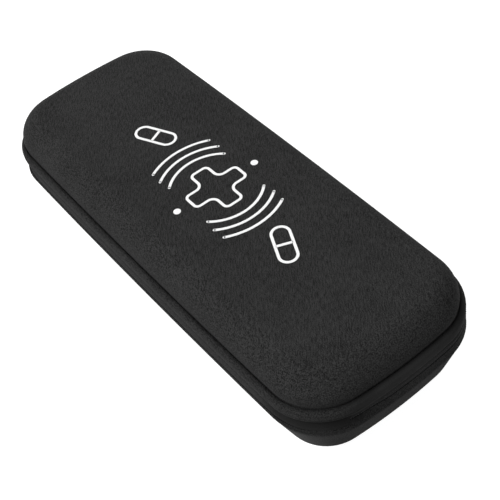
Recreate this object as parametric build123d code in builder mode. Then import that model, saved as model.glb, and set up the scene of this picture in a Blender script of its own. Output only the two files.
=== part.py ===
from build123d import *

import os
from math import radians, tan
from typing import NamedTuple

# A zipped hard case for a stethoscope: two moulded shells, a fabric hinge and a chain with two sliders

# Overall sizes, over the outer faces of the two rim bands
case_length = 290.0
case_width = 113.0
base_depth = 35.0
lid_depth = 26.5
end_bow = 5.0
side_bow = 1.4
corner_radius = 31.0

# Moulded shells: a woven cover, a foam core and a soft lining, pressed together
cover_thickness = 0.8
core_thickness = 3.0
lining_thickness = 0.7
lid_wall_inset = 2.5
base_wall_inset = 0.5
lid_draft = 2.0
base_draft = 21.0
lid_edge_radius = 14.0
base_edge_radius = 11.0
rim_distance = 3.8

# Rim bands: the lid's stands proud of its wall, the base's lies flush in a rebate
band_start = 4.2
band_depth = 2.5
lid_band_height = 6.2
base_band_height = 3.0
lid_band_round = 2.2

# Zipper chain: one tape and one coil for each shell
tape_inset = 0.6
tape_thickness = 0.6
tape_width = 6.8
slit_half = 0.15
coil_depth = 2.4
coil_height = 2.05
zipper_end = 24.0
stop_length = 4.0

# Fabric hinge strip between the bands at the back
hinge_inset = 0.8
hinge_thickness = 0.8
hinge_reach = 6.8

# Bindings that hide the raw edges of the shells inside
binding_start = 3.0
binding_reach = 9.0
binding_inset = 4.0
binding_thickness = 0.7

# Mesh pocket in the lid
pocket_distance = 5.0
mesh_thickness = 0.8
pocket_mouth = 22.0
hem_width = 10.0
hem_lap = 0.8
hem_round = 0.6
border_width = 8.0
border_thickness = 0.6

# Elastic straps on the floor of the base
strap_spacing = 140.0
strap_width = 25.0
strap_thickness = 1.2
strap_arch = 12.0
strap_span = 44.0
strap_foot = 10.0

# Sliders, one each side of the middle of the front, nose to nose
slider_gap = 4.0
slider_length = 10.0
plate_thickness = 1.5
plate_nose = 8.4
plate_tail = 6.0
plate_round = 1.2
inner_plate_nose = 5.0
inner_plate_tail = 4.2
inner_plate_thickness = 1.2
post_length = 2.6
post_height = 1.6
crown_length = 5.4
crown_width = 2.4
crown_leg = 1.0
pull_length = 26.0
pull_width = 7.0
pull_thickness = 1.4
pull_arm = 1.4
pull_slot_length = 8.0
pull_slot_width = 2.6

# Clearances
running_gap = 0.3
pivot_gap = 0.4
post_gap = 0.3
crown_gap = 0.5

# Derived sizes
skin = cover_thickness + core_thickness + lining_thickness
parting = base_depth
chain_inner = tape_inset + tape_thickness + coil_depth
inner_plate_inset = chain_inner + running_gap
crown_height = pull_thickness + 2 * pivot_gap + crown_leg
front_stand = running_gap + plate_thickness + crown_height
case_middle = front_stand / 2
front_face = case_middle - case_width / 2
back_face = case_middle + case_width / 2
slider_x = (slider_gap + slider_length) / 2
post_x = slider_gap / 2 + post_length / 2 + post_gap
pull_inset = -running_gap - plate_thickness - pivot_gap - pull_thickness / 2


class Half(NamedTuple):
    """One moulded half of the case, with its distances taken from the parting plane."""

    name: str
    up: int
    depth: float
    wall_start: float
    wall_inset: float
    draft: float
    edge_radius: float
    band_height: float


base_wall_start = band_start + base_band_height
lid = Half("lid", 1, lid_depth, band_start, lid_wall_inset, lid_draft, lid_edge_radius, lid_band_height)
base = Half(
    "base", -1, base_depth, base_wall_start, base_wall_inset, base_draft, base_edge_radius, base_band_height
)


def outline(inset):
    """The case from above: four bowed sides and round corners, set in from the bands' outer faces."""
    corner_x = case_length / 2 - end_bow
    corner_y = case_width / 2 - side_bow
    with BuildSketch() as plan:
        with BuildLine():
            ThreePointArc((-corner_x, -corner_y), (0, -case_width / 2), (corner_x, -corner_y))
            ThreePointArc((corner_x, -corner_y), (case_length / 2, 0), (corner_x, corner_y))
            ThreePointArc((corner_x, corner_y), (0, case_width / 2), (-corner_x, corner_y))
            ThreePointArc((-corner_x, corner_y), (-case_length / 2, 0), (-corner_x, -corner_y))
        make_face()
        fillet(plan.vertices(), corner_radius)
        if inset > 0:
            offset(amount=-inset, mode=Mode.REPLACE)
    return plan.sketch


def level(half, distance):
    """The plane at a distance from the parting plane, facing away from it."""
    return Plane((0, case_middle, parting + half.up * distance), z_dir=(0, 0, half.up))


def prism(half, near, far, inset):
    """A straight block of the outline between two distances from the parting plane."""
    with BuildPart() as block:
        with BuildSketch(level(half, near)):
            add(outline(inset))
        extrude(amount=far - near)
    return block.part


def ring(half, near, far, outer, inner):
    """A straight wall that follows the outline."""
    with BuildPart() as wall:
        add(prism(half, near, far, outer))
        add(prism(half, near, far, inner), mode=Mode.SUBTRACT)
    return wall.part


def outward(half):
    """The direction away from the parting plane."""
    return Axis((0, 0, 0), (0, 0, half.up))


def form(half, depth):
    """The form of a shell, a given depth below its skin: upright at its mouth, drafted, then rounded."""
    with BuildPart() as body:
        with BuildSketch(level(half, half.wall_start)):
            add(outline(half.wall_inset + depth))
        extrude(amount=half.depth - depth - half.wall_start, taper=half.draft)
        fillet(body.faces().sort_by(outward(half))[-1].edges(), half.edge_radius - depth)
        add(prism(half, 0, half.wall_start, half.wall_inset + depth))
    return body.part


def layer(half, outer, inner):
    """One pressed layer of a shell, trimmed at the rim and cut back for the rim band."""
    with BuildPart() as wall:
        add(form(half, outer))
        add(form(half, inner), mode=Mode.SUBTRACT)
        split(bisect_by=level(half, rim_distance), keep=Keep.TOP)
        add(ring(half, 0, band_start + half.band_height, 0, band_depth), mode=Mode.SUBTRACT)
    return wall.part


def across(distance):
    """A plane across the case's width, a distance in front of its back face, facing back."""
    return Plane((0, back_face - distance, 0), x_dir=(1, 0, 0), z_dir=(0, 1, 0))


def facing_front(x, inset):
    """A plane on the front, at the parting height and a given inset, facing out of the case."""
    return Plane((x, front_face + inset, parting), x_dir=(1, 0, 0), z_dir=(0, -1, 0))


def binding_inner(half):
    """Inset of a binding's inner face, which stands clear of the drafted lining."""
    drafted = (binding_reach - half.wall_start) * tan(radians(half.draft))
    return half.wall_inset + skin + drafted + binding_thickness


def post_reliefs():
    """Room in the tapes and coils, which part round the post inside each slider."""
    with BuildPart() as room:
        for side in (-1, 1):
            with BuildSketch(facing_front(side * post_x, 0)):
                Rectangle(post_length + 2 * post_gap, post_height + 2 * post_gap)
            extrude(amount=-chain_inner - running_gap)
    return room.part


def finish(piece, name):
    """Names a piece and writes it."""
    piece.part.label = name
    export_step(piece.part, f"parts/{name}.step")


os.makedirs("parts", exist_ok=True)
reliefs = post_reliefs()

# The hinge strip runs behind both bands, round the two back corners
with BuildPart() as hinge_strip:
    add(ring(lid, -hinge_reach, hinge_reach, hinge_inset, hinge_inset + hinge_thickness))
    split(bisect_by=across(zipper_end), keep=Keep.TOP)
finish(hinge_strip, "hinge_strip")

for half in (lid, base):
    for name, outer, inner in (
        ("cover", 0, cover_thickness),
        ("core", cover_thickness, cover_thickness + core_thickness),
        ("lining", cover_thickness + core_thickness, skin),
    ):
        with BuildPart() as shell:
            add(layer(half, outer, inner))
        finish(shell, f"{half.name}_{name}")

    # The tape is sewn behind the band and stops at the hinge strip
    with BuildPart() as zipper_tape:
        add(ring(half, slit_half, tape_width, tape_inset, tape_inset + tape_thickness))
        split(bisect_by=across(zipper_end), keep=Keep.BOTTOM)
        add(reliefs, mode=Mode.SUBTRACT)
    finish(zipper_tape, f"{half.name}_zipper_tape")

    with BuildPart() as zipper_coil:
        add(ring(half, slit_half, slit_half + coil_height, tape_inset + tape_thickness, chain_inner))
        split(bisect_by=across(zipper_end + stop_length), keep=Keep.BOTTOM)
        add(reliefs, mode=Mode.SUBTRACT)
    finish(zipper_coil, f"{half.name}_zipper_coil")

    with BuildPart() as rim_band:
        add(prism(half, band_start, band_start + half.band_height, 0))
        if half is lid:
            fillet(rim_band.faces().sort_by(outward(half))[-1].edges(), lid_band_round)
        add(prism(half, 0, band_start + half.band_height, band_depth), mode=Mode.SUBTRACT)
        add(ring(half, 0, tape_width, tape_inset, tape_inset + tape_thickness), mode=Mode.SUBTRACT)
        add(hinge_strip.part, mode=Mode.SUBTRACT)
    finish(rim_band, f"{half.name}_rim_band")

    with BuildPart() as binding:
        add(ring(half, binding_start, binding_reach, binding_inset, binding_inner(half)))
        add(layer(half, 0, skin), mode=Mode.SUBTRACT)
    finish(binding, f"{half.name}_binding")

# End stops close the two ends of the chain beside the hinge strip
with BuildPart() as stops:
    add(ring(base, slit_half, slit_half + coil_height, tape_inset + tape_thickness, chain_inner))
    split(bisect_by=across(zipper_end), keep=Keep.BOTTOM)
    split(bisect_by=across(zipper_end + stop_length), keep=Keep.TOP)
for side, name in ((0, "zipper_stop_left"), (-1, "zipper_stop_right")):
    with BuildPart() as zipper_stop:
        add(stops.solids().sort_by(Axis.X)[side])
    finish(zipper_stop, name)

# The pocket's mesh is held by the lid's binding on three sides
pocket_inset = binding_inner(lid)
hem_front = case_width - pocket_inset - pocket_mouth
with BuildPart() as pocket_mesh:
    add(prism(lid, pocket_distance, pocket_distance + mesh_thickness, pocket_inset))
    split(bisect_by=across(hem_front - hem_lap), keep=Keep.TOP)
finish(pocket_mesh, "pocket_mesh")

with BuildPart() as pocket_hem:
    add(prism(lid, pocket_distance - hem_lap, pocket_distance + mesh_thickness + hem_lap, pocket_inset))
    split(bisect_by=across(hem_front), keep=Keep.TOP)
    split(bisect_by=across(hem_front - hem_width), keep=Keep.BOTTOM)
    fillet(pocket_hem.edges().filter_by(Axis.X), hem_round)
    add(pocket_mesh.part, mode=Mode.SUBTRACT)
finish(pocket_hem, "pocket_hem")

with BuildPart() as pocket_border:
    add(
        ring(
            lid,
            pocket_distance - border_thickness,
            pocket_distance,
            pocket_inset,
            pocket_inset + border_width,
        )
    )
    split(bisect_by=across(hem_front - hem_width), keep=Keep.TOP)
finish(pocket_border, "pocket_border")

# Elastic straps, stitched flat at both ends and arched between them
for side, name in ((-1, "left"), (1, "right")):
    with BuildPart() as strap:
        side_view = Plane(
            (side * strap_spacing / 2, case_middle, skin), x_dir=(0, 1, 0), z_dir=(1, 0, 0)
        )
        with BuildSketch(side_view) as profile:
            with BuildLine():
                under = ThreePointArc((-strap_span / 2, 0), (0, strap_arch), (strap_span / 2, 0))
                over = ThreePointArc(
                    (-strap_span / 2, strap_thickness),
                    (0, strap_arch + strap_thickness),
                    (strap_span / 2, strap_thickness),
                )
                Polyline(
                    over @ 1,
                    (strap_span / 2 + strap_foot, strap_thickness),
                    (strap_span / 2 + strap_foot, 0),
                    under @ 1,
                )
                Polyline(
                    over @ 0,
                    (-strap_span / 2 - strap_foot, strap_thickness),
                    (-strap_span / 2 - strap_foot, 0),
                    under @ 0,
                )
            make_face()
        extrude(amount=strap_width / 2, both=True)
    finish(strap, f"elastic_strap_{name}")

# Each slider's nose, with the post that parts the coils, faces the middle of the front
for side, name in ((-1, "left"), (1, "right")):
    x = side * slider_x
    nose_x = -side * slider_length / 2
    with BuildPart() as slider:
        for inset, thickness, nose, tail in (
            (-running_gap, plate_thickness, plate_nose, plate_tail),
            (
                inner_plate_inset + inner_plate_thickness,
                inner_plate_thickness,
                inner_plate_nose,
                inner_plate_tail,
            ),
        ):
            with BuildSketch(facing_front(x, inset)) as plate:
                with BuildLine():
                    Polyline(
                        (nose_x, -nose / 2),
                        (nose_x, nose / 2),
                        (-nose_x, tail / 2),
                        (-nose_x, -tail / 2),
                        close=True,
                    )
                make_face()
                fillet(plate.vertices(), plate_round)
            extrude(amount=thickness)
        with BuildSketch(facing_front(side * post_x, -running_gap)):
            SlotOverall(post_length, post_height)
        extrude(amount=-running_gap - inner_plate_inset)
        crown_foot = Plane(
            (x, front_face - running_gap - plate_thickness, parting), x_dir=(1, 0, 0), z_dir=(0, 0, 1)
        )
        with BuildSketch(crown_foot) as crown:
            Rectangle(crown_length, crown_height, align=(Align.CENTER, Align.MAX))
            fillet(crown.vertices().group_by(Axis.Y)[0], crown_leg)
            Rectangle(
                crown_length - 2 * crown_leg,
                crown_height - crown_leg,
                align=(Align.CENTER, Align.MAX),
                mode=Mode.SUBTRACT,
            )
        extrude(amount=crown_width / 2, both=True)
    finish(slider, f"slider_{name}")

    # The pull's round bar sits under the crown, and its arms pass the crown's sides
    arm_width = crown_width + 2 * crown_gap + 2 * pull_arm
    crown_reach = (crown_length**2 / 4 + (crown_leg + pivot_gap + pull_thickness / 2) ** 2) ** 0.5
    window = crown_reach + crown_gap
    with BuildPart() as pull:
        with BuildSketch(facing_front(x, pull_inset + pull_thickness / 2)) as tab:
            with BuildLine():
                Polyline(
                    (0, -arm_width / 2),
                    (side * window, -arm_width / 2),
                    (side * pull_length, -pull_width / 2),
                    (side * pull_length, pull_width / 2),
                    (side * window, arm_width / 2),
                    (0, arm_width / 2),
                    close=True,
                )
            make_face()
            fillet(tab.vertices().group_by(Axis.X)[-1 if side > 0 else 0], pull_width / 2 - crown_gap)
            with Locations((side * window / 2, 0)):
                Rectangle(window, crown_width + 2 * crown_gap, mode=Mode.SUBTRACT)
            with Locations((side * (pull_length - pull_width / 2 - pull_slot_length / 2 + crown_gap), 0)):
                SlotOverall(pull_slot_length, pull_slot_width, mode=Mode.SUBTRACT)
        extrude(amount=pull_thickness)
        with BuildSketch(Plane((x, front_face + pull_inset, parting))):
            Circle(pull_thickness / 2)
        extrude(amount=arm_width / 2, both=True)
    finish(pull, f"pull_{name}")
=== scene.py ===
import math

import bmesh
import bpy
from bmesh.types import BMEdge, BMFace, BMVert
from mathutils import Matrix, Vector


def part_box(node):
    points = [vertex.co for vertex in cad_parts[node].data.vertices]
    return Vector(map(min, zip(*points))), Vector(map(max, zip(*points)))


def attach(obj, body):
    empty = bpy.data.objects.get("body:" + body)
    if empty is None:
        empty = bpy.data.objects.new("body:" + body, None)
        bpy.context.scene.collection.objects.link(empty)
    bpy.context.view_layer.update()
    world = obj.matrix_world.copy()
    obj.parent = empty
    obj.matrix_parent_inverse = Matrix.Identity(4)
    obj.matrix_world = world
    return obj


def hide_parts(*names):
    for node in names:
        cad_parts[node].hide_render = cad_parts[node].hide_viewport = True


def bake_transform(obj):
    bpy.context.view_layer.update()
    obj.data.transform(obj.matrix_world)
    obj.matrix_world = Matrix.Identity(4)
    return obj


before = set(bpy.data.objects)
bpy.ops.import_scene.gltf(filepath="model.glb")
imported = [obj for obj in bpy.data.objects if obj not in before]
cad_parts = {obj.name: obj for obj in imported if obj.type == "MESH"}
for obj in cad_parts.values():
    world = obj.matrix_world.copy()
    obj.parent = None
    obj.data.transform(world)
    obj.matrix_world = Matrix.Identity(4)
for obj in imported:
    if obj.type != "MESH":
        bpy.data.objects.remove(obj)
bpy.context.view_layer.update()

print("frame loaded")

# The case's main lines, read from the frame; lengths in metres
mm = 0.001
bandLow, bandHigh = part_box("lid_rim_band")
case = {
    "length": bandHigh.x - bandLow.x,
    "width": bandHigh.y - bandLow.y,
    "endBow": 5.0 * mm,
    "sideBow": 1.4 * mm,
    "cornerRadius": 31.0 * mm,
    "cornerSteps": 14,
    "longSteps": 30,
    "shortSteps": 8,
    "weld": 0.002 * mm,  # points of a sweep's first and last loop that meet
}
middleY = (bandHigh.y + bandLow.y) / 2
parting = (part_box("lid_zipper_tape")[0].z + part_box("base_zipper_tape")[1].z) / 2
frontY = bandLow.y
backY = bandHigh.y


# Helpers for meshes

def finished(mesh, name):
    # A bmesh's data; the bmesh itself is done with
    data = bpy.data.meshes.new(name)
    mesh.to_mesh(data)
    mesh.free()
    return data


def newObject(name, data):
    made = bpy.data.objects.new(name, data)
    bpy.context.scene.collection.objects.link(made)
    return made


def newPiece(mesh, name, body, finish, replaced=(), smooth=True):
    # A bmesh becomes an object with its material, and rides on its body
    bmesh.ops.recalc_face_normals(mesh, faces=mesh.faces)
    data = finished(mesh, name)
    for face in data.polygons:
        face.use_smooth = smooth
    piece = newObject(name, data)
    if body:  # a piece given no body, such as the hinge strip between the two shells, is not attached to one
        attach(piece, body)
    if replaced:
        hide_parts(*replaced)
    return dress(piece, finish)


def only(parts, kind):
    # The vertices, edges or faces among an operator's results
    return [part for part in parts if isinstance(part, kind)]


def turned(degrees, axis):
    return Matrix.Rotation(math.radians(degrees), 3, axis)


def bevelled(mesh, parts, size, segments, affect="VERTICES"):
    bmesh.ops.bevel(
        mesh, geom=parts, offset=size, offset_type="OFFSET", segments=segments, profile=0.5,
        affect=affect, clamp_overlap=True, material=-1,
    )


def oblong(mesh, long, wide, parts=1):
    # A flat rectangle about the origin
    verts = bmesh.ops.create_grid(mesh, x_segments=parts, y_segments=1, size=0.5)["verts"]
    bmesh.ops.scale(mesh, verts=verts, vec=(long, wide, 1))
    return verts


def pushOn(mesh, end, move, keep):
    # Extrudes an end's faces by a move; the old ones are kept only where they close the piece
    grown = bmesh.ops.extrude_face_region(mesh, geom=end)["geom"]
    if not keep:
        bmesh.ops.delete(mesh, geom=end, context="FACES_ONLY")
    bmesh.ops.translate(mesh, verts=only(grown, BMVert), vec=move)
    return only(grown, BMFace)


def caseOutline():
    # The outline's arcs, anticlockwise from the middle of the right-hand end
    halfLength, halfWidth, cornerRadius = case["length"] / 2, case["width"] / 2, case["cornerRadius"]
    cornerX, cornerY = halfLength - case["endBow"], halfWidth - case["sideBow"]
    sideRadius = (cornerX**2 + case["sideBow"] ** 2) / (2 * case["sideBow"])
    endRadius = (cornerY**2 + case["endBow"] ** 2) / (2 * case["endBow"])
    side = Vector((0, halfWidth - sideRadius))
    end = Vector((halfLength - endRadius, 0))
    sideReach, endReach = sideRadius - cornerRadius, endRadius - cornerRadius
    apart = (end - side).length
    along = (sideReach**2 - endReach**2 + apart**2) / (2 * apart)
    toEnd = (end - side).normalized()
    corner = side + toEnd * along + Vector((toEnd.y, -toEnd.x)) * math.sqrt(sideReach**2 - along**2)
    otherCorner, otherEnd = Vector((-corner.x, corner.y)), Vector((-end.x, 0))
    endAngle = math.atan2(corner.y, corner.x - end.x)
    sideAngle = math.atan2(corner.y - side.y, corner.x)
    arcs = []
    for way in (1, -1):  # the outline's second half is its first half turned round
        for centre, radius, first, last, steps in (
            (end, endRadius, 0, endAngle, "shortSteps"),
            (corner, cornerRadius, endAngle, sideAngle, "cornerSteps"),
            (side, sideRadius, sideAngle, math.pi - sideAngle, "longSteps"),
            (otherCorner, cornerRadius, math.pi - sideAngle, math.pi - endAngle, "cornerSteps"),
            (otherEnd, endRadius, math.pi - endAngle, math.pi, "shortSteps"),
        ):
            start = first if way > 0 else first + math.pi
            arcs.append((centre * way, radius, start, last - first, case[steps]))
    return arcs


outlineArcs = caseOutline()  # each arc is a centre, radius, first angle, turn and number of steps


def planLoop(mesh, inset, height):
    # One closed loop of the case's outline, set in from the bands' outer faces
    vectors = mesh.verts.layers.float_vector
    out = vectors.get("out") or vectors.new("out")  # keeps each point's outward direction
    centre, radius, first, turn, steps = outlineArcs[0]
    start = last = mesh.verts.new((centre.x + radius - inset, middleY, height))
    for centre, radius, first, turn, steps in outlineArcs:
        spun = bmesh.ops.spin(
            mesh, geom=[last], cent=(centre.x, middleY + centre.y, height), axis=(0, 0, 1),
            angle=turn, steps=steps, use_merge=False,
        )
        last = only(spun["geom_last"], BMVert)[0]
    bmesh.ops.weld_verts(mesh, targetmap={last: start})
    edges, vert, edge = [], start, None
    for centre, radius, first, turn, steps in outlineArcs:
        for step in range(steps):
            middle = Vector((centre.x, middleY + centre.y, height))
            vert[out] = (vert.co - middle).normalized()
            turning = Matrix.Rotation(first + turn * (step + 1) / steps, 3, "Z")
            ahead = middle + turning @ Vector((radius - inset, 0, 0))
            onward = (link for link in vert.link_edges if link is not edge)
            edge = min(onward, key=lambda link: (link.other_vert(vert).co - ahead).length)
            vert = edge.other_vert(vert)
            edges.append(edge)
    return edges


def carryOn(mesh, edges, inward, upward):
    # Extrudes a loop and moves the new one in from the outline and up
    out = mesh.verts.layers.float_vector["out"]
    grown = bmesh.ops.extrude_edge_only(mesh, edges=edges)["geom"]
    verts = set(only(grown, BMVert))
    for vert in verts:
        vert.co -= vert[out] * inward
        vert.co.z += upward
    return [edge for edge in only(grown, BMEdge) if verts.issuperset(edge.verts)]


def sweep(section, half="lid", closed=True, capFirst=False, capLast=False):
    # Carries a section round the outline; its points are insets and heights over the parting plane
    section = [(inset, parting + shells[half]["up"] * height) for inset, height in section]
    mesh = bmesh.new()
    first = loop = planLoop(mesh, *section[0])
    following = section[1:] + section[:1] if closed else section[1:]
    for (inset, height), (nextInset, nextHeight) in zip(section, following):
        loop = carryOn(mesh, loop, nextInset - inset, nextHeight - height)
    if closed:
        met = dict.fromkeys(vert for edge in first + loop for vert in edge.verts)
        bmesh.ops.remove_doubles(mesh, verts=list(met), dist=case["weld"])
    for edges, capped in ((first, capFirst), (loop, capLast)):
        if capped:
            bmesh.ops.edgeloop_fill(mesh, edges=edges)
    return mesh


def bisect(mesh, distance, keepBack, closed=True):
    # Keeps what lies behind or in front of a plane at a distance from the case's back
    cut = bmesh.ops.bisect_plane(
        mesh, geom=mesh.verts[:] + mesh.edges[:] + mesh.faces[:], plane_co=(0, backY - distance, 0),
        plane_no=(0, 1, 0), clear_inner=keepBack, clear_outer=not keepBack,
    )
    if closed:
        bmesh.ops.edgeloop_fill(mesh, edges=only(cut["geom_cut"], BMEdge))


def ease(value, low, high):
    # 0 below low and 1 above high, with a smooth step
    part = min(max((value - low) / (high - low), 0), 1)
    return part * part * (3 - 2 * part)


def placesRound(inset, height, spacing, front, back):
    # Places at equal spacing round the outline, between two distances from the case's back;
    # in each, x points along the outline, y outwards and z up
    places, along = [], 0
    for centre, radius, first, turn, _ in outlineArcs:
        reach = radius - inset
        while along < reach * turn:
            angle = first + along / reach
            outward = Vector((math.cos(angle), math.sin(angle), 0))
            spot = Vector((centre.x, middleY + centre.y, height)) + outward * reach
            if back < backY - spot.y < front:
                facing = Matrix(((outward.y, -outward.x, 0), outward, (0, 0, 1))).transposed().to_4x4()
                places.append(Matrix.Translation(spot) @ facing)
            along += spacing
        along -= reach * turn
    return places


def repeat(shape, places):
    # Copies of one small shape at many places, in one mesh
    data = finished(shape, "shape")
    mesh = bmesh.new()
    for place in places:
        placed = data.copy()
        placed.transform(place)
        mesh.from_mesh(placed)
        bpy.data.meshes.remove(placed)
    bpy.data.meshes.remove(data)
    return mesh


print("helpers ready")


# Materials: a wire is one socket, and sums on wires add the nodes

class Wire:
    def __init__(self, tree, socket=None):
        self.tree = tree
        self.socket = socket

    def node(self, kind, settings=None, inputs=None, output=0):
        made = self.tree.nodes.new("ShaderNode" + kind)
        for name, value in (settings or {}).items():
            if name == "stops":
                while len(made.color_ramp.elements) < len(value):
                    made.color_ramp.elements.new(1)
                for element, (place, colour) in zip(made.color_ramp.elements, value):
                    element.position, element.color = place, (*colour, 1)
            else:
                setattr(made, name, value)
        for name, value in (inputs or {}).items():
            if isinstance(value, Wire):
                self.tree.links.new(value.socket, made.inputs[name])
            else:
                made.inputs[name].default_value = value
        return Wire(self.tree, made.outputs[output])

    def other(self, output):
        # Another output of the same node
        return Wire(self.tree, self.socket.node.outputs[output])

    def maths(self, operation, *values):
        return self.node("Math", {"operation": operation}, dict(enumerate((self, *values))))

    def __add__(self, other):
        return self.maths("ADD", other)

    __radd__ = __add__

    def __mul__(self, other):
        return self.maths("MULTIPLY", other)

    __rmul__ = __mul__

    def __sub__(self, other):
        return self.maths("SUBTRACT", other)

    def __rsub__(self, other):
        return self.node("Math", {"operation": "SUBTRACT"}, {0: other, 1: self})

    def part(self, axis):
        # One coordinate of a place
        return self.node("SeparateXYZ", {}, {"Vector": self}, axis)

    def between(self, low, high):
        # 0 below low and 1 above high, with a smooth step
        return self.node(
            "MapRange", {"interpolation_type": "SMOOTHSTEP"},
            {"Value": self, "From Min": low, "From Max": high, "To Min": 0.0, "To Max": 1.0},
        )

    def mixed(self, first, second):
        # One colour where this wire is 0, the other where it is 1
        return self.node("Mix", {"data_type": "RGBA"}, {"Factor": self, 6: first, 7: second}, 2)

    def colours(self, dark, light):
        # The same for two plain colours
        return self.mixed((*dark, 1), (*light, 1))

    def tinted(self, shade):
        # This colour, darkened by a shade from 0 to 1
        settings = {"data_type": "RGBA", "blend_type": "MULTIPLY"}
        return self.node("Mix", settings, {"Factor": 1.0, 6: self, 7: shade}, 2)

    def bump(self, strength, height):
        return self.node("Bump", {}, {"Height": self, "Strength": strength, "Distance": height})


def newMaterial(name, roughness, sheen=0.0, sheenRoughness=0.4, metallic=0.0, specular=0.5):
    # A material, its wire for new nodes, and the shader that takes them
    material = bpy.data.materials.new(name)
    material.use_nodes = True
    shader = material.node_tree.nodes["Principled BSDF"]
    for socket, value in (
        ("Roughness", roughness), ("Sheen Weight", sheen), ("Sheen Roughness", sheenRoughness),
        ("Metallic", metallic), ("Specular IOR Level", specular),
    ):
        shader.inputs[socket].default_value = value
    return material, Wire(material.node_tree), shader


def feed(shader, **wires):
    # Joins wires to the shader's sockets; an underscore stands for a space
    for name, wire in wires.items():
        wire.tree.links.new(wire.socket, shader.inputs[name.replace("_", " ")])


def place(wires, sizes, turn=(0, 0, 0)):
    # Object coordinates, turned and then divided by a grain size in metres, or by one for each axis
    sizes = sizes if isinstance(sizes, tuple) else (sizes,) * 3
    spot = wires.node("TexCoord", output=3)
    inputs = {"Vector": spot, "Rotation": turn, "Scale": sizes}
    return spot.node("Mapping", {"vector_type": "TEXTURE"}, inputs)


def noise(wires, sizes, detail=2.0, roughness=0.5, turn=(0, 0, 0)):
    return wires.node(
        "TexNoise", {"noise_dimensions": "3D"},
        {"Vector": place(wires, sizes, turn), "Scale": 1.0, "Detail": detail, "Roughness": roughness},
    )


def axes(wires, size):
    # Sine waves along x, y and z, one wave to each size
    spot = place(wires, size)
    return [(spot.part(axis) * (2 * math.pi)).maths("SINE") for axis in range(3)]


melange = {
    "dark": (0.0068,) * 3,
    "light": (0.0392,) * 3,
    "yarn": 0.62 * mm,  # one thread of the weave
    "grain": 0.50 * mm,  # one fleck of pale fibre
    "streak": (3.8 * mm, 0.54 * mm),  # a slub's length and width, along the bias of the cloth
    "bias": math.radians(-37),
    "cloud": 26 * mm,
    "shares": (0.60, 0.33, 0.07),  # of flecks, slubs and clouds in the colour
    "contrast": (0.40, 0.60),
    "relief": 0.11 * mm,
    "trim": {"dark": (0.0160,) * 3, "light": (0.0300,) * 3, "smooth": 0.75},
    "bandCloth": (26 * mm, 44 * mm),  # the y where the band's trim ends, and where it is all cloth
    "cornerTape": (112 * mm, 122 * mm),  # the x where the hinge strip's cloth ends, and where it is all tape
    # painted shade: the share of the cloth's colour left at each height, darkest in the crease over the lid's
    # band and a little darker all down the band and the base: height over the parting plane in mm, share
    "crease": (
        (-20, 0.80), (-8, 0.81), (-4.4, 0.86), (0, 0.88), (3.9, 0.84), (4.25, 0.72), (5.6, 0.90), (9.2, 0.93),
        (9.9, 0.74), (10.5, 0.46), (11.3, 0.55), (12.8, 0.74), (14.5, 0.90), (17, 1.0),
    ),
    # painted shade along the zipper's slit: how much darker the colour is, and where it fades out: height in
    # mm, y
    "slit": {"share": 0.50, "height": (0.3, 0.75), "behind": (33 * mm, 36 * mm)},
    # painted shade in the hollow of the back corners: how much darker the colour is, and where: x, y, heights
    # in mm
    "hollow": {
        "share": 0.66, "side": (100 * mm, 118 * mm), "behind": (18 * mm, 34 * mm),
        "above": (-9, 2), "below": (4.3, 6.4),
    },
}


def coordinate(wires, axis):
    return wires.node("TexCoord", output=3).part(axis)


def creaseShade(wires):
    # Painted shade in the colour: the soft shadow of creases, of the zipper's slit and of the back corners'
    # hollows, and a darker tone down the band and the base
    low, high = melange["crease"][0][0], melange["crease"][-1][0]
    height = (coordinate(wires, 2) - parting) * (1 / mm)
    share = (height - low) * (1 / (high - low))
    stops = [((level - low) / (high - low), (value,) * 3) for level, value in melange["crease"]]
    shade = share.node("ValToRGB", {"stops": stops}, {"Fac": share})
    slit, hollow = melange["slit"], melange["hollow"]
    # painted shade: a dark line along the slit, left off the hinge strip at the back
    inSlit = 1 - height.maths("ABSOLUTE").between(*slit["height"])
    inSlit = inSlit * (1 - coordinate(wires, 1).between(*slit["behind"]))
    # painted shade: the back corners' hollow, fading out on the lip of the lid's band
    inHollow = coordinate(wires, 0).maths("ABSOLUTE").between(*hollow["side"])
    inHollow = inHollow * coordinate(wires, 1).between(*hollow["behind"]) * height.between(*hollow["above"])
    inHollow = inHollow * (1 - height.between(*hollow["below"]))
    return shade * (1 - inSlit * slit["share"]) * (1 - inHollow * hollow["share"])


def onBand(wires):
    # The lid's band is smooth trim round the front and the ends, and the shells' cloth along the hinge
    return 1 - coordinate(wires, 1).between(*melange["bandCloth"])


def onCorner(wires):
    # The hinge strip gives way to dark tape where it sinks into the back corners
    return coordinate(wires, 0).maths("ABSOLUTE").between(*melange["cornerTape"])


def caseCloth(name, smooth=None):
    # Heather cloth: a fine plain weave with pale flecks, and faint slubs that run along its bias
    material, wires, shader = newMaterial(name, 0.86, sheen=0.05, sheenRoughness=0.45, specular=0.015)
    fleck = noise(wires, melange["grain"], 3.0, 0.65)
    long, thin = melange["streak"]
    slub = noise(wires, (long, thin, thin), 3.0, 0.6, turn=(0, 0, melange["bias"]))
    cloud = noise(wires, melange["cloud"], 3.0)
    flecks, slubs, clouds = melange["shares"]
    tone = fleck * flecks + slub * slubs + cloud * clouds
    x, y, z = axes(wires, melange["yarn"])
    weave = x * y + y * z + z * x
    colour = tone.between(*melange["contrast"]).colours(melange["dark"], melange["light"])
    height = weave * 0.30 + fleck * 1.6 + slub * 1.6
    if smooth:
        mask, trim = smooth(wires), melange["trim"]
        plain = (fleck * 0.5 + cloud * 0.5).between(0.3, 0.7).colours(trim["dark"], trim["light"])
        colour = mask.mixed(colour, plain)
        height = height * (1 - mask * trim["smooth"])
    # the painted shade of creaseShade darkens the cloth's colour
    feed(
        shader,
        Base_Color=colour.tinted(creaseShade(wires)),
        Roughness=0.80 + cloud * 0.12,
        Normal=(height + cloud * 2.0).bump(0.30, melange["relief"]),
    )
    return material


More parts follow.
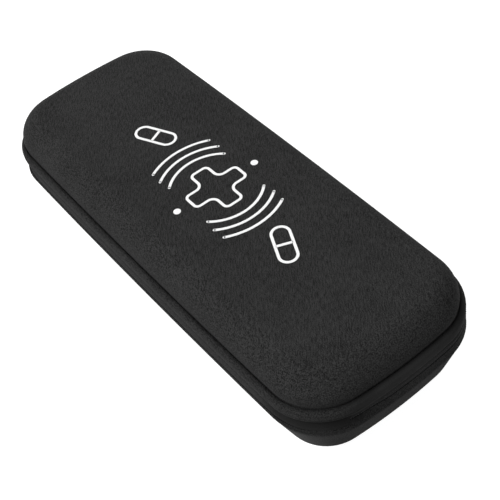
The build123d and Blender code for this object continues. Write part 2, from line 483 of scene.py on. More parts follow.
cloth = {
    "lining": {"dark": (0.010, 0.010, 0.011), "light": (0.024, 0.024, 0.025), "yarn": 0.9 * mm},
    "binding": {"dark": (0.009, 0.009, 0.010), "light": (0.021, 0.021, 0.022), "yarn": 0.7 * mm},
    "elastic": {"dark": (0.008, 0.008, 0.009), "light": (0.025, 0.025, 0.026), "yarn": 1.1 * mm},
    "foam": {"dark": (0.010, 0.010, 0.010), "light": (0.018, 0.018, 0.018), "yarn": 1.6 * mm},
    "fibre": 0.4 * mm,
    "nap": 9 * mm,
}


def plainCloth(name, roughness=0.86, sheen=0.15):
    # A woven or ribbed cloth; its rows run level round the case
    colours = cloth[name]
    material, wires, shader = newMaterial(name + "Cloth", roughness, sheen, specular=0.2)
    x, y, z = axes(wires, colours["yarn"])
    fibre = noise(wires, cloth["fibre"])
    nap = noise(wires, cloth["nap"], 3.0)
    weave = x * y + z
    tone = (weave * 0.16 + fibre * 0.75 + nap * 0.25).between(0.2, 0.8)
    feed(
        shader,
        Base_Color=tone.colours(colours["dark"], colours["light"]),
        Roughness=0.78 + nap * 0.16,
        Normal=(weave * 0.4 + fibre * 0.5 + nap).bump(0.5, 0.12 * mm),
    )
    return material


def ribbedElastic():
    # Elastic webbing: ribs across its width, with covered rubber threads that run along it
    colours = cloth["elastic"]
    material, wires, shader = newMaterial("elasticWebbing", 0.8, sheen=0.15, specular=0.25)
    x, y = axes(wires, colours["yarn"])[:2]
    fibre = noise(wires, 0.35 * mm)
    ribs = x + y * 0.35
    feed(
        shader,
        Base_Color=(ribs * 0.22 + fibre).between(0.15, 0.95).colours(colours["dark"], colours["light"]),
        Normal=(ribs * 0.6 + fibre * 0.4).bump(0.6, 0.15 * mm),
    )
    return material


knit = {
    "dark": (0.010, 0.010, 0.011),
    "light": (0.026, 0.026, 0.027),
    "hole": 2.2 * mm,  # from one hole to the next
    "open": (-0.12, 0.10),  # where the net's wave starts to open, and is a hole
}


def openKnit():
    # Net with staggered round holes
    material, wires, shader = newMaterial("openKnit", 0.75, sheen=0.1, specular=0.3)
    x, y = axes(wires, knit["hole"])[:2]
    net = x * y
    fibre = noise(wires, 0.3 * mm)
    feed(
        shader,
        Base_Color=(fibre + net * 0.2).between(0.2, 0.8).colours(knit["dark"], knit["light"]),
        Alpha=1 - (net + fibre * 0.1).between(*knit["open"]),
        Normal=(net * 0.8 + fibre * 0.5).bump(0.6, 0.2 * mm),
    )
    return material


nylon = {"dark": (0.008, 0.008, 0.0085), "light": (0.017, 0.017, 0.018), "cloud": 1.5 * mm}
lacquer = {
    "dark": (0.014, 0.014, 0.015),
    "light": (0.034, 0.034, 0.036),
    "peel": 0.7 * mm,
    "brushed": (6 * mm, 0.25 * mm, 0.25 * mm),
}
thread = {"dark": (0.005, 0.005, 0.0055), "light": (0.014, 0.014, 0.015), "twist": 0.2 * mm}
ink = {"dark": (0.70, 0.70, 0.70), "light": (0.86, 0.86, 0.86), "speckle": 0.5 * mm}


def coilPlastic():
    # Moulded nylon with a dull shine
    material, wires, shader = newMaterial("coilPlastic", 0.38, specular=0.45)
    cloud = noise(wires, nylon["cloud"], 3.0)
    feed(
        shader,
        Base_Color=cloud.colours(nylon["dark"], nylon["light"]),
        Roughness=0.3 + cloud * 0.2,
        Normal=cloud.bump(0.3, 0.04 * mm),
    )
    return material


def blackMetal():
    # Satin black lacquer on cast metal, with faint brushing and orange peel
    material, wires, shader = newMaterial("blackMetal", 0.34, metallic=0.55, specular=0.5)
    peel = noise(wires, lacquer["peel"])
    brushed = noise(wires, lacquer["brushed"])
    tone = (peel * 0.5 + brushed * 0.5).between(0.25, 0.75)
    feed(
        shader,
        Base_Color=tone.colours(lacquer["dark"], lacquer["light"]),
        Roughness=0.22 + brushed * 0.2,
        Normal=(peel + brushed * 0.4).bump(0.25, 0.03 * mm),
    )
    return material


def sewingThread():
    # Twisted thread
    material, wires, shader = newMaterial("sewingThread", 0.7, sheen=0.1, specular=0.3)
    twist = noise(wires, thread["twist"])
    feed(
        shader,
        Base_Color=twist.colours(thread["dark"], thread["light"]),
        Normal=twist.bump(0.5, 0.05 * mm),
    )
    return material


def whiteInk():
    # Thick screen ink that the weave below still shows through
    material, wires, shader = newMaterial("whiteInk", 0.55, specular=0.35)
    x, y = axes(wires, melange["yarn"])[:2]
    speckle = noise(wires, ink["speckle"], 3.0)
    feed(
        shader,
        Base_Color=(speckle + x * y * 0.08).between(0.15, 0.55).colours(ink["dark"], ink["light"]),
        Roughness=0.48 + speckle * 0.2,
        Normal=(x * y * 0.4 + speckle).bump(0.4, 0.06 * mm),
    )
    return material


materials = {
    "melange": caseCloth("melangeFabric"),
    "band": caseCloth("bandCloth", onBand),
    "hinge": caseCloth("hingeCloth", onCorner),
    "lining": plainCloth("lining", sheen=0.3),
    "binding": plainCloth("binding"),
    "foam": plainCloth("foam", 0.9, 0),
    "elastic": ribbedElastic(),
    "knit": openKnit(),
    "coil": coilPlastic(),
    "metal": blackMetal(),
    "thread": sewingThread(),
    "ink": whiteInk(),
}


def dress(piece, name):
    piece.data.materials.clear()
    piece.data.materials.append(materials[name])
    return piece


print("materials ready")


# Moulded shells

shells = {
    "steps": 14,
    "soften": 2.5 * mm,  # how far from its bend each wall starts to lean
    "liningRim": 3.8 * mm,
    "cover": (0, 0.8 * mm),  # each layer's outer and inner face, below the outer skin
    "lining": (3.8 * mm, 4.5 * mm),
    "lid": {
        "up": 1, "coverRim": 3.8 * mm, "wallStart": 4.2 * mm, "wallInset": 2.5 * mm,
        "draft": 2, "edgeRadius": 14 * mm,
    },
    "base": {
        "up": -1, "coverRim": 7.0 * mm, "wallStart": 7.2 * mm, "wallInset": 0.5 * mm,
        "draft": 21, "edgeRadius": 11 * mm,
    },
    # the cloth turns in where it meets the lid's band
    "tuck": {"deep": 0.55 * mm, "at": 10.2 * mm, "gone": 13.0 * mm},
}
shells["lid"]["depth"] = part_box("lid_cover")[1].z - parting
shells["base"]["depth"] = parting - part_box("base_cover")[0].z


def shellSection(half, rim, below):
    # From the rim along the wall and round the edge, a depth below the outer skin
    shell = shells[half]
    slope, soft = math.radians(shell["draft"]), shells["soften"]
    radius, depth = shell["edgeRadius"] - below, shell["depth"] - below
    turnHeight = depth - radius + radius * math.sin(slope)

    def wall(height):
        past = height - shell["wallStart"]
        lean = max(past, 0) if abs(past) > soft else (past + soft) ** 2 / (4 * soft)
        return shell["wallInset"] + below + math.tan(slope) * lean

    steps = [rim + (turnHeight - rim) * step / shells["steps"] for step in range(shells["steps"])]
    section = [(wall(height), height) for height in steps]
    if half == "lid" and below == 0:
        tuck = shells["tuck"]
        section = [
            (inset + tuck["deep"] * (1 - ease(height, tuck["at"], tuck["gone"])), height)
            for inset, height in section
        ]
    centre = wall(turnHeight) + radius * math.cos(slope)
    for step in range(shells["steps"] + 1):
        angle = slope + (math.pi / 2 - slope) * step / shells["steps"]
        section.append((centre - radius * math.cos(angle), depth - radius + radius * math.sin(angle)))
    return section


def shellLayer(half, name, finish):
    # One closed layer of a shell
    rim = shells[half]["coverRim"] if name == "cover" else shells["liningRim"]
    outer, inner = shells[name]
    section = shellSection(half, rim, outer)[::-1] + shellSection(half, rim, inner)
    mesh = sweep(section, half, closed=False, capFirst=True, capLast=True)
    newPiece(mesh, half + name.capitalize(), half, finish, [f"{half}_{name}"])


for half in ("lid", "base"):
    shellLayer(half, "cover", "melange")
    shellLayer(half, "lining", "lining")
    dress(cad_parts[half + "_core"], "foam")
print("shells built")


# Rim bands: the lid's flares to its mouth, the base's is level with its shell

rim = {
    "steps": 12,
    "inner": 2.45 * mm,
    "bevel": 0.3 * mm,  # at the band's inner upper edge
    "slot": (0.58 * mm, 1.65 * mm, 6.85 * mm),  # outer inset, inner inset and height of its room for the tape
    "lip": 0.02 * mm,
    "zipperEnd": 24 * mm,  # from the case's back
    "level": 0.16 * mm,  # the inset of the tapes' outer faces and of the bands' mouths
    "lid": {"low": 4.2 * mm, "high": 10.4 * mm, "widest": 0.3, "crease": 2.5 * mm, "power": 4},
    "base": {"low": 4.2 * mm, "high": 7.2 * mm, "widest": 0.6, "crease": 0.6 * mm, "power": 2},
}
sink = {
    "deep": 1.0 * mm,
    "side": (109 * mm, 119 * mm),  # how far from the middle the hinge starts to sink, and is fully sunk
    "back": (34 * mm, 47 * mm),  # how far from the back the zipper is still sunk, and is level again
    "lid": (3.9 * mm, 4.6 * mm),
    "base": (1.5 * mm, 7.4 * mm),
}


def sinkCorners(mesh):
    # The hinge, and the zipper's two ends beside it, sink in round the back corners under the lid's band
    out = mesh.verts.layers.float_vector["out"]
    for vert in mesh.verts:
        height = vert.co.z - parting
        level = ease(abs(height), *sink["lid" if height > 0 else "base"])
        ends = ease(abs(vert.co.x), *sink["side"]) * (1 - ease(backY - vert.co.y, *sink["back"]))
        vert.co -= vert[out] * sink["deep"] * ends * (1 - level)


def bandSection(half):
    # Its outer face bulges to its widest line, and its inner face has room for the tape and the hinge strip
    band, section = rim[half], []
    for step in range(rim["steps"] + 1):
        part = step / rim["steps"]
        if part < band["widest"]:
            inset = rim["level"] * (1 - part / band["widest"]) ** 2
        else:
            inset = band["crease"] * ((part - band["widest"]) / (1 - band["widest"])) ** band["power"]
        section.append((inset, band["low"] + (band["high"] - band["low"]) * part))
    slotOuter, slotInner, slotTop = rim["slot"]
    section += [
        (rim["inner"] + rim["bevel"], band["high"] - rim["bevel"]), (rim["inner"], band["low"]),
        (slotInner, band["low"]), (slotInner, slotTop), (slotOuter, slotTop),
        (slotOuter, band["low"] + rim["lip"]),
    ]
    return section


def rimBand(half, finish):
    mesh = sweep(bandSection(half), half)
    if half == "base":
        sinkCorners(mesh)
    newPiece(mesh, half + "RimBand", half, finish, [half + "_rim_band"])


rimBand("lid", "band")
rimBand("base", "melange")
print("bands built")


# Zipper chain

chain = {
    "tape": (0.6 * mm, 1.2 * mm),  # its outer and inner inset behind the bands
    "tapeReach": 6.6 * mm,
    "slit": 0.15 * mm,  # half the gap between the two tapes
    "turn": 0.16 * mm,  # the rounding of the tape's edge
    "groove": 0.10 * mm,  # sets the lid's tape off from its band
    "step": 0.005 * mm,  # how far the tape stays short of its band
    "coil": {
        "from": 1.2 * mm, "to": 3.2 * mm, "height": 2.05 * mm, "wire": 0.3 * mm, "ring": 0.8 * mm,
        "pitch": 1.35 * mm, "lean": 14,
    },
    "stop": 4 * mm,
}


def zipperTape(half, finish):
    # Level with the bands' mouths outside, and thinner behind them
    level, reach = rim["level"], chain["tapeReach"]
    outer, inner = chain["tape"]
    slit, turn, step, mouth = chain["slit"], chain["turn"], chain["step"], rim["lid"]["low"]
    groove = chain["groove"] if half == "lid" else 0
    section = [
        (outer, reach), (outer, mouth), (level + groove, mouth - step), (level, mouth - 3 * step - groove),
        (level, slit + 2.4 * turn), (level + turn * 0.4, slit + turn * 0.8), (level + turn * 1.6, slit),
        (inner, slit), (inner, reach),
    ]
    mesh = sweep(section, half)
    sinkCorners(mesh)
    bisect(mesh, rim["zipperEnd"], keepBack=False)
    newPiece(mesh, half + "ZipperTape", half, finish, [half + "_zipper_tape"])


def zipperCoil(half):
    # One nylon coil: a wire ring for each turn, leaning along the chain
    coil = chain["coil"]
    deep, high, ringRadius = coil["to"] - coil["from"], coil["height"], coil["ring"]
    turn = bmesh.new()
    wire = bmesh.ops.create_circle(turn, segments=5, radius=coil["wire"])["verts"]
    bmesh.ops.translate(turn, verts=wire, vec=(0, ringRadius, 0))
    for axis in "YZ":
        bmesh.ops.rotate(turn, verts=wire, cent=(0, ringRadius, 0), matrix=turned(90, axis))
    bmesh.ops.spin(
        turn, geom=turn.verts[:] + turn.edges[:], cent=(0, 0, 0), axis=(1, 0, 0),
        angle=2 * math.pi, steps=10, use_merge=True,
    )
    outerRadius = ringRadius + coil["wire"]
    bmesh.ops.scale(turn, verts=turn.verts, vec=(1, deep / 2 / outerRadius, high / 2 / outerRadius))
    bmesh.ops.rotate(turn, verts=turn.verts, matrix=turned(coil["lean"], "Z"))
    inset = (coil["from"] + coil["to"]) / 2
    height = parting + shells[half]["up"] * (chain["slit"] + high / 2)
    mesh = repeat(turn, placesRound(inset, height, coil["pitch"], 1, rim["zipperEnd"] + chain["stop"]))
    newPiece(mesh, half + "ZipperCoil", half, "coil", [half + "_zipper_coil"])


for half, finish in (("lid", "band"), ("base", "melange")):
    zipperTape(half, finish)
    zipperCoil(half)
print("zipper built")


# Sliders, pulls and stops

softened = {  # how far each one's edges are softened
    "slider": 0.12 * mm,
    "pull": 0.25 * mm,
    "zipperStop": 0.2 * mm,
    "weld": 0.004 * mm,
    "flat": math.radians(1),  # faces that meet at less are made one
    "sharp": math.radians(35),  # edges that bend by more are softened
}


def metalCopy(node, name, side, body):
    # The node's own shape with its edges softened
    mesh = bmesh.new()
    mesh.from_mesh(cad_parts[node + side].data)
    bmesh.ops.remove_doubles(mesh, verts=mesh.verts, dist=softened["weld"])
    bmesh.ops.dissolve_limit(mesh, angle_limit=softened["flat"], verts=mesh.verts, edges=mesh.edges)
    sharp = [edge for edge in mesh.edges if edge.is_manifold and edge.calc_face_angle() > softened["sharp"]]
    bevelled(mesh, sharp, softened[name], 2, "EDGES")
    piece = newPiece(mesh, name + side.capitalize(), body, "metal", [node + side])
    piece.modifiers.new("shading", "WEIGHTED_NORMAL").keep_sharp = True
    return piece


def sinkStop(stop, side):
    # A stop sinks in with its tape, towards the middle of the back corner
    corner = outlineArcs[1][0]
    low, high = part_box("zipper_stop_" + side)
    middle = (low + high) / 2
    outward = (middle.xy - Vector((math.copysign(corner.x, middle.x), middleY + corner.y))).normalized()
    stop.data.transform(Matrix.Translation((-outward * sink["deep"]).to_3d()))


for side in ("left", "right"):
    metalCopy("slider_", "slider", side, "slider_" + side)
    metalCopy("pull_", "pull", side, "pull_" + side)
    sinkStop(metalCopy("zipper_stop_", "zipperStop", side, "base"), side)
print("sliders and pulls built")


# Hinge strip: level with the bands along the back, sunk where it goes round the corners

hinge = {
    "steps": 14,
    "outer": 0.22 * mm,
    "thick": 0.8 * mm,
    "reach": 6.6 * mm,
    "behind": 0.62 * mm,  # its inset behind the bands
    "level": 2.6 * mm,  # how high it is level, from the parting plane
    "open": 4.1 * mm,  # and how high it is behind the bands
    "bend": 0.9,  # how much of its open height bends with the lid
    "long": 327 * mm,  # from end to end, round both back corners
}


def hingeStrip():
    outerFace, innerFace = [], []
    for step in range(hinge["steps"] + 1):
        height = hinge["reach"] * (2 * step / hinge["steps"] - 1)
        tucked = ease(abs(height), hinge["level"], hinge["open"])
        inset = hinge["outer"] + (hinge["behind"] - hinge["outer"]) * tucked
        outerFace.append((inset, height))
        innerFace.append((inset + hinge["thick"], height))
    mesh = sweep(outerFace + innerFace[::-1])
    sinkCorners(mesh)
    bisect(mesh, rim["zipperEnd"], keepBack=True)
    piece = newPiece(mesh, "hingeStrip", None, "hinge", ["hinge_strip"])
    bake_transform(piece)


hingeStrip()
print("hinge built")


# Bindings over the shells' raw edges

binding = {
    # "lining" is the lining's inset at its rim and at the binding's far edge
    "lid": {"inner": 7.87 * mm, "lining": (7.0 * mm, 7.17 * mm)},
    "base": {"inner": 6.39 * mm, "lining": (5.0 * mm, 5.69 * mm)},
    "outer": 4.05 * mm,
    "low": 3.0 * mm,
    "high": 9.0 * mm,
    "rim": 3.75 * mm,  # the height of the shell's raw edge
    "step": 0.45 * mm,
    "lap": 0.05 * mm,
    "turn": 0.5 * mm,
}


def foldedBinding(half):
    # A tape folded over the raw edge, with a soft turn at each of its corners
    inner, turn = binding[half]["inner"], binding["turn"]
    outer, low, high, edge = (binding[name] for name in ("outer", "low", "high", "rim"))
    nearLining, farLining = binding[half]["lining"]
    section = [
        (outer, edge), (outer, low + turn * 0.7), (outer + turn * 0.3, low + turn * 0.2),
        (outer + turn, low), (inner - turn * 1.5, low), (inner - turn * 0.5, low + turn * 0.4),
        (inner, low + turn * 1.6), (inner, high - turn * 0.7), (inner - turn * 0.3, high - turn * 0.1),
        (farLining, high), (nearLining, edge + binding["step"]), (nearLining - binding["lap"], edge),
    ]
    mesh = sweep(section, half)
    newPiece(mesh, half + "Binding", half, "binding", [half + "_binding"])


for half in ("lid", "base"):
    foldedBinding(half)
print("bindings built")


# Mesh pocket in the lid

pocket = {
    "inset": binding["lid"]["inner"],
    "mouth": 22 * mm,
    "height": 5.4 * mm,  # from the parting plane to the net
    "slack": 0.9 * mm,
    "sewnIn": 0.1 * mm,  # how far the net reaches under its seam
    "underHem": 0.8 * mm,
    "slackOver": 20 * mm,  # how far from its seams it goes slack
    "steps": 7,
    "hem": {
        "wide": 10 * mm, "thick": 2.3 * mm, "short": 0.3 * mm,
        "ripple": 0.25 * mm, "ripples": 46, "steps": 184,
    },
    "border": {"wide": 8 * mm, "near": 4.4 * mm, "far": 5.05 * mm, "turn": 0.25 * mm},
}
hemFront = backY - frontY - pocket["inset"] - pocket["mouth"]  # from the case's back


def pocketNet():
    # One sheet, a little slack away from its seams
    section = []
    for step in range(pocket["steps"] + 1):
        part = step / pocket["steps"]
        inset = pocket["inset"] - pocket["sewnIn"] + pocket["slackOver"] * part
        section.append((inset, pocket["height"] + pocket["slack"] * ease(part, 0, 1.2)))
    mesh = sweep(section, closed=False, capLast=True)
    bisect(mesh, hemFront - pocket["underHem"], keepBack=True, closed=False)
    return newPiece(mesh, "pocketNet", "lid", "knit", ["pocket_mesh"])


def pocketHem():
    # A gathered elastic hem: a soft oval section that ripples along its length
    hem = pocket["hem"]
    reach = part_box("pocket_hem")[1].x - hem["short"]
    middle = Vector((0, backY - hemFront + hem["wide"] / 2, parting + pocket["height"]))
    mesh = bmesh.new()
    ring = bmesh.ops.create_circle(mesh, cap_ends=True, segments=20, radius=1)["verts"]
    bmesh.ops.rotate(mesh, verts=ring, matrix=turned(90, "Y"))
    bmesh.ops.scale(mesh, verts=ring, vec=(1, hem["wide"] / 2, hem["thick"] / 2))
    bmesh.ops.translate(mesh, verts=ring, vec=middle - Vector((reach, 0, 0)))
    end = mesh.faces[:]
    for step in range(hem["steps"]):
        end = pushOn(mesh, end, (2 * reach / hem["steps"], 0, 0), keep=step == 0)
    for vert in mesh.verts:
        wave = math.sin(vert.co.x / reach * math.pi * hem["ripples"] / 2)
        along = (vert.co.y - middle.y) / hem["wide"]
        vert.co.z += hem["ripple"] * wave * (0.5 + along)
        vert.co.y += hem["ripple"] * 0.5 * wave * along
    return newPiece(mesh, "pocketHem", "lid", "elastic", ["pocket_hem"])


def pocketBorder():
    # The tape that holds the net along its three seams
    border, inset = pocket["border"], pocket["inset"]
    near, far, wide, turn = border["near"], border["far"], border["wide"], border["turn"]
    section = [
        (inset, far), (inset, near + turn * 0.8), (inset + turn, near), (inset + wide - turn * 1.2, near),
        (inset + wide, near + turn), (inset + wide, far),
    ]
    mesh = sweep(section)
    bisect(mesh, hemFront - pocket["hem"]["wide"], keepBack=True)
    return newPiece(mesh, "pocketBorder", "lid", "binding", ["pocket_border"])


net, hem, border = pocketNet(), pocketHem(), pocketBorder()
print("pocket built")


# Elastic straps on the base's floor

strap = {
    "wide": 25 * mm,
    "thick": 1.2 * mm,
    "rise": 12 * mm,
    "halfSpan": 22 * mm,
    "foot": 10 * mm,
    "bend": 4 * mm,  # the radius at each foot
    "footSteps": 4,
    "bendSteps": 5,
    "archSteps": 18,
}


def elasticStrap(side):
    # Flat foot, a small bend up, the arch, a small bend down, flat foot
    low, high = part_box("elastic_strap_" + side)
    floor, middle = low.z, (low.x + high.x) / 2
    turn = 2 * math.atan(strap["rise"] / strap["halfSpan"])
    arch = strap["halfSpan"] / math.sin(turn) - strap["bend"]
    mesh = bmesh.new()
    section = oblong(mesh, strap["wide"], strap["thick"], 10)
    bmesh.ops.rotate(mesh, verts=section, matrix=turned(90, "X"))
    start = middleY - strap["halfSpan"] - strap["foot"]
    bmesh.ops.translate(mesh, verts=section, vec=(middle, start, floor + strap["thick"] / 2))
    first = mesh.faces[:]
    end = first

    def straight(end, length, steps):
        for step in range(steps):
            end = pushOn(mesh, end, (0, length / steps, 0), keep=end is first)
        return end

    def curved(end, centre, angle, steps):
        spun = bmesh.ops.spin(
            mesh, geom=end, cent=(middle, middleY + centre[0], floor + centre[1]), axis=(1, 0, 0),
            angle=angle, steps=steps, use_merge=False,
        )
        return only(spun["geom_last"], BMFace)

    bend, lift = strap["bend"], strap["thick"] / 2
    end = straight(end, strap["foot"], strap["footSteps"])
    end = curved(end, (-strap["halfSpan"], lift + bend), turn, strap["bendSteps"])
    end = curved(end, (0, lift + strap["rise"] - arch), -2 * turn, strap["archSteps"])
    end = curved(end, (strap["halfSpan"], lift + bend), turn, strap["bendSteps"])
    straight(end, strap["foot"], strap["footSteps"])
    newPiece(mesh, "strap" + side.capitalize(), "base", "elastic", ["elastic_strap_" + side])


for side in ("left", "right"):
    elasticStrap(side)
print("straps built")


# Stitches

stitch = {"long": 0.44 * mm, "thick": 0.19 * mm}  # half of each
# rows that go round the case: inset, height, pitch, and how far from the back they end (-1 is all the way)
stitchRows = {
    "bandStitches": ("lid", 0.18 * mm, 2.1 * mm, 1.3 * mm, rim["zipperEnd"]),
    "lidBindingStitches": ("lid", 7.9 * mm, 7.6 * mm, 2.6 * mm, -1),
    "baseBindingStitches": ("base", 6.42 * mm, -7.6 * mm, 2.6 * mm, -1),
}
# gaps from the edges of what is sewn, and pitches
strapSeam = {"side": 2 * mm, "near": 2.5 * mm, "far": 1.5 * mm, "pitch": 2 * mm}
hemSeam = {"rows": (2 * mm, 8 * mm), "short": 3 * mm, "pitch": 2.4 * mm}
borderSeam = {"edge": 1.2 * mm, "short": 1 * mm, "pitch": 2.4 * mm}


def oneStitch():
    shape = bmesh.new()
    bmesh.ops.create_uvsphere(shape, u_segments=6, v_segments=5, radius=1)
    bmesh.ops.rotate(shape, verts=shape.verts, matrix=turned(90, "Y"))
    bmesh.ops.scale(shape, verts=shape.verts, vec=(stitch["long"], stitch["thick"], stitch["thick"]))
    return shape


def sew(places, name, body):
    newPiece(repeat(oneStitch(), places), name, body, "thread")


for name, (body, inset, height, pitch, back) in stitchRows.items():
    sew(placesRound(inset, parting + height, pitch, 1, back), name, body)


def flatRow(start, end, pitch):
    # Stitches in a straight line on a flat piece
    run = end - start
    count = round(run.length / pitch)
    facing = run.to_track_quat("X", "Z").to_matrix().to_4x4()
    return [Matrix.Translation(start + run * (step + 0.5) / count) @ facing for step in range(count)]


def strapStitches(side):
    # A box of stitches on each foot
    low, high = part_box("elastic_strap_" + side)
    left, right, top = low.x + strapSeam["side"], high.x - strapSeam["side"], low.z + strap["thick"]
    gaps = (strapSeam["near"], strap["foot"] - strapSeam["far"])
    places = []
    for toward in (-1, 1):
        inner, outer = (middleY + toward * (strap["halfSpan"] + gap) for gap in gaps)
        ring = ((left, inner), (right, inner), (right, outer), (left, outer))
        corners = [Vector((*spot, top)) for spot in ring]
        for start, end in zip(corners, corners[1:] + corners[:1]):
            places += flatRow(start, end, strapSeam["pitch"])
    sew(places, "strapStitches" + side.capitalize(), "base")


for side in ("left", "right"):
    strapStitches(side)


def hemStitches():
    # Two rows along the hem's face that looks out of the lid
    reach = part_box("pocket_hem")[1].x - hemSeam["short"]
    z = parting + pocket["height"] - pocket["hem"]["thick"] / 2 * 0.8
    places = []
    for gap in hemSeam["rows"]:
        y = backY - hemFront + gap
        places += flatRow(Vector((-reach, y, z)), Vector((reach, y, z)), hemSeam["pitch"])
    sew(places, "hemStitches", "lid")


def borderStitches():
    # A row along the border's inner edge
    border, front = pocket["border"], hemFront - pocket["hem"]["wide"] - borderSeam["short"]
    inset, height = pocket["inset"] + border["wide"] - borderSeam["edge"], parting + border["near"]
    sew(placesRound(inset, height, borderSeam["pitch"], front, -1), "borderStitches", "lid")


hemStitches()
borderStitches()
print("stitches sewn")


# Print on the lid: a rounded cross between rings of arcs, and a capsule at each end

printed = {
    "middle": (-1 * mm, 2 * mm),
    "line": 1.5 * mm,
    "thick": 0.12 * mm,
    "sunk": 0.01 * mm,
    "cross": {"arm": 12 * mm, "long": 34 * mm, "round": 3.2 * mm},
    # each arc's radius, and how many degrees it reaches to each side
    "arcs": {"radii": (25 * mm, 31 * mm, 37 * mm), "half": (46, 38, 30), "steps": 26},
    # "divider" is how many lines shorter than the capsule's width its divider is
    "capsule": {
        "from": 44 * mm, "long": 26 * mm, "wide": 11 * mm, "round": 0.999, "divider": 1.6, "lean": 24,
    },
    "dots": {"at": 25 * mm, "aside": 23 * mm, "radius": 2.0 * mm},
}


def outlined(shape, faces, line):
    # Leaves only a border of the line's width along the faces' edges
    bmesh.ops.inset_region(shape, faces=faces, thickness=line, use_even_offset=True, use_boundary=True)
    bmesh.ops.delete(shape, geom=faces, context="FACES")


def crossOutline(shape):
    cross = printed["cross"]
    arm, reach = cross["arm"] / 2, cross["long"] / 2
    corner = [(reach, -arm), (reach, arm), (arm, arm)]
    points = []
    for turn in range(4):
        quarter = Matrix.Rotation(math.pi / 2 * turn, 2)
        points += [quarter @ Vector(point) for point in corner]
    verts = [shape.verts.new((*point, 0)) for point in points]
    shape.faces.new(verts)
    bevelled(shape, verts, cross["round"], 6)
    outlined(shape, shape.faces[:], printed["line"])


def flatDisc(shape, x, y, radius):
    disc = bmesh.ops.create_circle(shape, cap_ends=True, segments=20, radius=radius)["verts"]
    bmesh.ops.translate(shape, verts=disc, vec=(x, y, 0))


def flatArc(shape, radius, half, side):
    # An arc of the line's width about the print's middle, with round ends
    line = printed["line"]
    across = [shape.verts.new((radius + gap, 0, 0)) for gap in (-line / 2, line / 2)]
    edge = shape.edges.new(across)
    facing = 0 if side > 0 else 180
    bmesh.ops.rotate(shape, verts=across, matrix=turned(facing - half, "Z"))
    bmesh.ops.spin(
        shape, geom=[edge, *across], cent=(0, 0, 0), axis=(0, 0, 1), angle=math.radians(2 * half),
        steps=printed["arcs"]["steps"], use_merge=False,
    )
    for end in (-half, half):
        angle = math.radians(facing + end)
        flatDisc(shape, radius * math.cos(angle), radius * math.sin(angle), line / 2)


def capsuleOutline(shape, side):
    # A rounded outline with a line across its middle
    capsule, line = printed["capsule"], printed["line"]
    long, wide = capsule["long"], capsule["wide"]
    pill = bmesh.new()
    corners = oblong(pill, long, wide)
    bevelled(pill, corners, wide / 2 * capsule["round"], 10)
    outlined(pill, pill.faces[:], line)
    oblong(pill, line, wide - line * capsule["divider"])
    bmesh.ops.rotate(pill, verts=pill.verts, matrix=turned(capsule["lean"] * side, "Z"))
    bmesh.ops.translate(pill, verts=pill.verts, vec=(side * (capsule["from"] + long / 2), 0, 0))
    data = finished(pill, "pill")
    shape.from_mesh(data)
    bpy.data.meshes.remove(data)


def lidPrint():
    shape = bmesh.new()
    crossOutline(shape)
    for radius, half in zip(printed["arcs"]["radii"], printed["arcs"]["half"]):
        for side in (-1, 1):
            flatArc(shape, radius, half, side)
    dots = printed["dots"]
    for side in (-1, 1):
        capsuleOutline(shape, side)
        flatDisc(shape, 0, side * dots["at"], dots["radius"])
    bmesh.ops.recalc_face_normals(shape, faces=shape.faces)
    pushOn(shape, shape.faces[:], (0, 0, printed["thick"]), keep=True)
    top = parting + shells["lid"]["depth"]
    x, y = printed["middle"]
    bmesh.ops.translate(shape, verts=shape.verts, vec=(x, y, top - printed["sunk"]))
    newPiece(shape, "lidPrint", "lid", "ink", smooth=False)


lidPrint()
print("print built")


# Camera, light and floor

# Angles in degrees and lengths in metres, but the sensor's width in millimetres
view = {
    "sensor": 36,
    "focal": 2.26371,  # times the sensor's width
    "yaw": -28.252,
    "pitch": 46.548,
    "roll": -12.342,
    "distance": 0.62979,
    "aside": 0.00938,
    "above": 0.00840,
}


def newCamera():
    # It looks at the case's middle, then slides aside and up in its own plane
    yaw, pitch, roll = (math.radians(view[name]) for name in ("yaw", "pitch", "roll"))
    yaw += math.pi
    back = Vector((math.cos(yaw) * math.cos(pitch), math.sin(yaw) * math.cos(pitch), math.sin(pitch)))
    right = Vector((0, 0, 1)).cross(back).normalized()
    up = back.cross(right)
    rolledRight = math.cos(roll) * right + math.sin(roll) * up
    rolledUp = math.cos(roll) * up - math.sin(roll) * right
    spot = Vector((0, middleY, 0)) + back * view["distance"]
    spot += rolledRight * view["aside"] + rolledUp * view["above"]
    turn = Matrix((rolledRight, rolledUp, back)).transposed().to_4x4()
    camera = newObject("camera", bpy.data.cameras.new("camera"))
    camera.data.sensor_width = view["sensor"]
    camera.data.lens = view["sensor"] * view["focal"]
    camera.data.clip_start = 0.01
    camera.matrix_world = Matrix.Translation(spot) @ turn
    bpy.context.scene.camera = camera


newCamera()

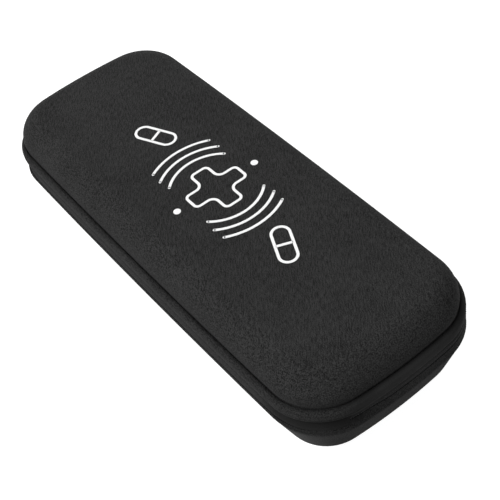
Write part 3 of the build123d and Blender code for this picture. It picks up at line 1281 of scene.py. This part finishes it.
studio = {
    "world": 0.42,
    "lamps": {
        "windowLamp": {"at": (0.25, 1.25, 1.15), "size": 0.9, "power": 25},
        "topLamp": {"at": (0.5, 0.0, 1.6), "size": 1.2, "power": 1.5},
        "farLamp": {"at": (1.2, -0.9, 0.9), "size": 0.8, "power": 6.5},
        "nearLamp": {"at": (-1.1, 0.3, 0.45), "size": 0.8, "power": 2.2},
    },
    "floor": (0.28,) * 3,
    "floorRadius": 9,
    "glow": 0.93,  # what the floor adds where it is seen directly, over its lit and shadowed colour
}


def newLamps():
    for name, lamp in studio["lamps"].items():
        data = bpy.data.lights.new(name, "AREA")
        data.shape = "DISK"
        data.size = lamp["size"]
        data.energy = lamp["power"]
        spot = Vector(lamp["at"])
        facing = spot.to_track_quat("Z", "Y").to_matrix().to_4x4()
        newObject(name, data).matrix_world = Matrix.Translation(spot) @ facing


def seenDirectly(wires):
    # 1 for what the camera sees, also in a reflection or through something clear
    seen = wires.node("LightPath")
    return seen.maths("MAXIMUM", seen.other(3)).maths("MAXIMUM", seen.other(6))


def paleGround():
    # White to the camera and in reflections, and pale with a shadow elsewhere
    world = bpy.data.worlds.new("studio")
    world.use_nodes = True
    bpy.context.scene.world = world
    background = world.node_tree.nodes["Background"]
    background.inputs["Color"].default_value = (1, 1, 1, 1)
    strength = seenDirectly(Wire(world.node_tree)) * (1 - studio["world"]) + studio["world"]
    world.node_tree.links.new(strength.socket, background.inputs["Strength"])
    mesh = bmesh.new()
    bmesh.ops.create_circle(mesh, cap_ends=True, segments=64, radius=studio["floorRadius"])
    floor = newObject("floor", finished(mesh, "floor"))
    material, wires, shader = newMaterial("paleFloor", 0.9)
    shader.inputs["Base Color"].default_value = (*studio["floor"], 1)
    shader.inputs["Emission Color"].default_value = (1, 1, 1, 1)
    wires.tree.links.new((seenDirectly(wires) * studio["glow"]).socket, shader.inputs["Emission Strength"])
    floor.data.materials.append(material)


newLamps()
paleGround()
bpy.context.scene.view_settings.view_transform = "Standard"
print("studio ready")
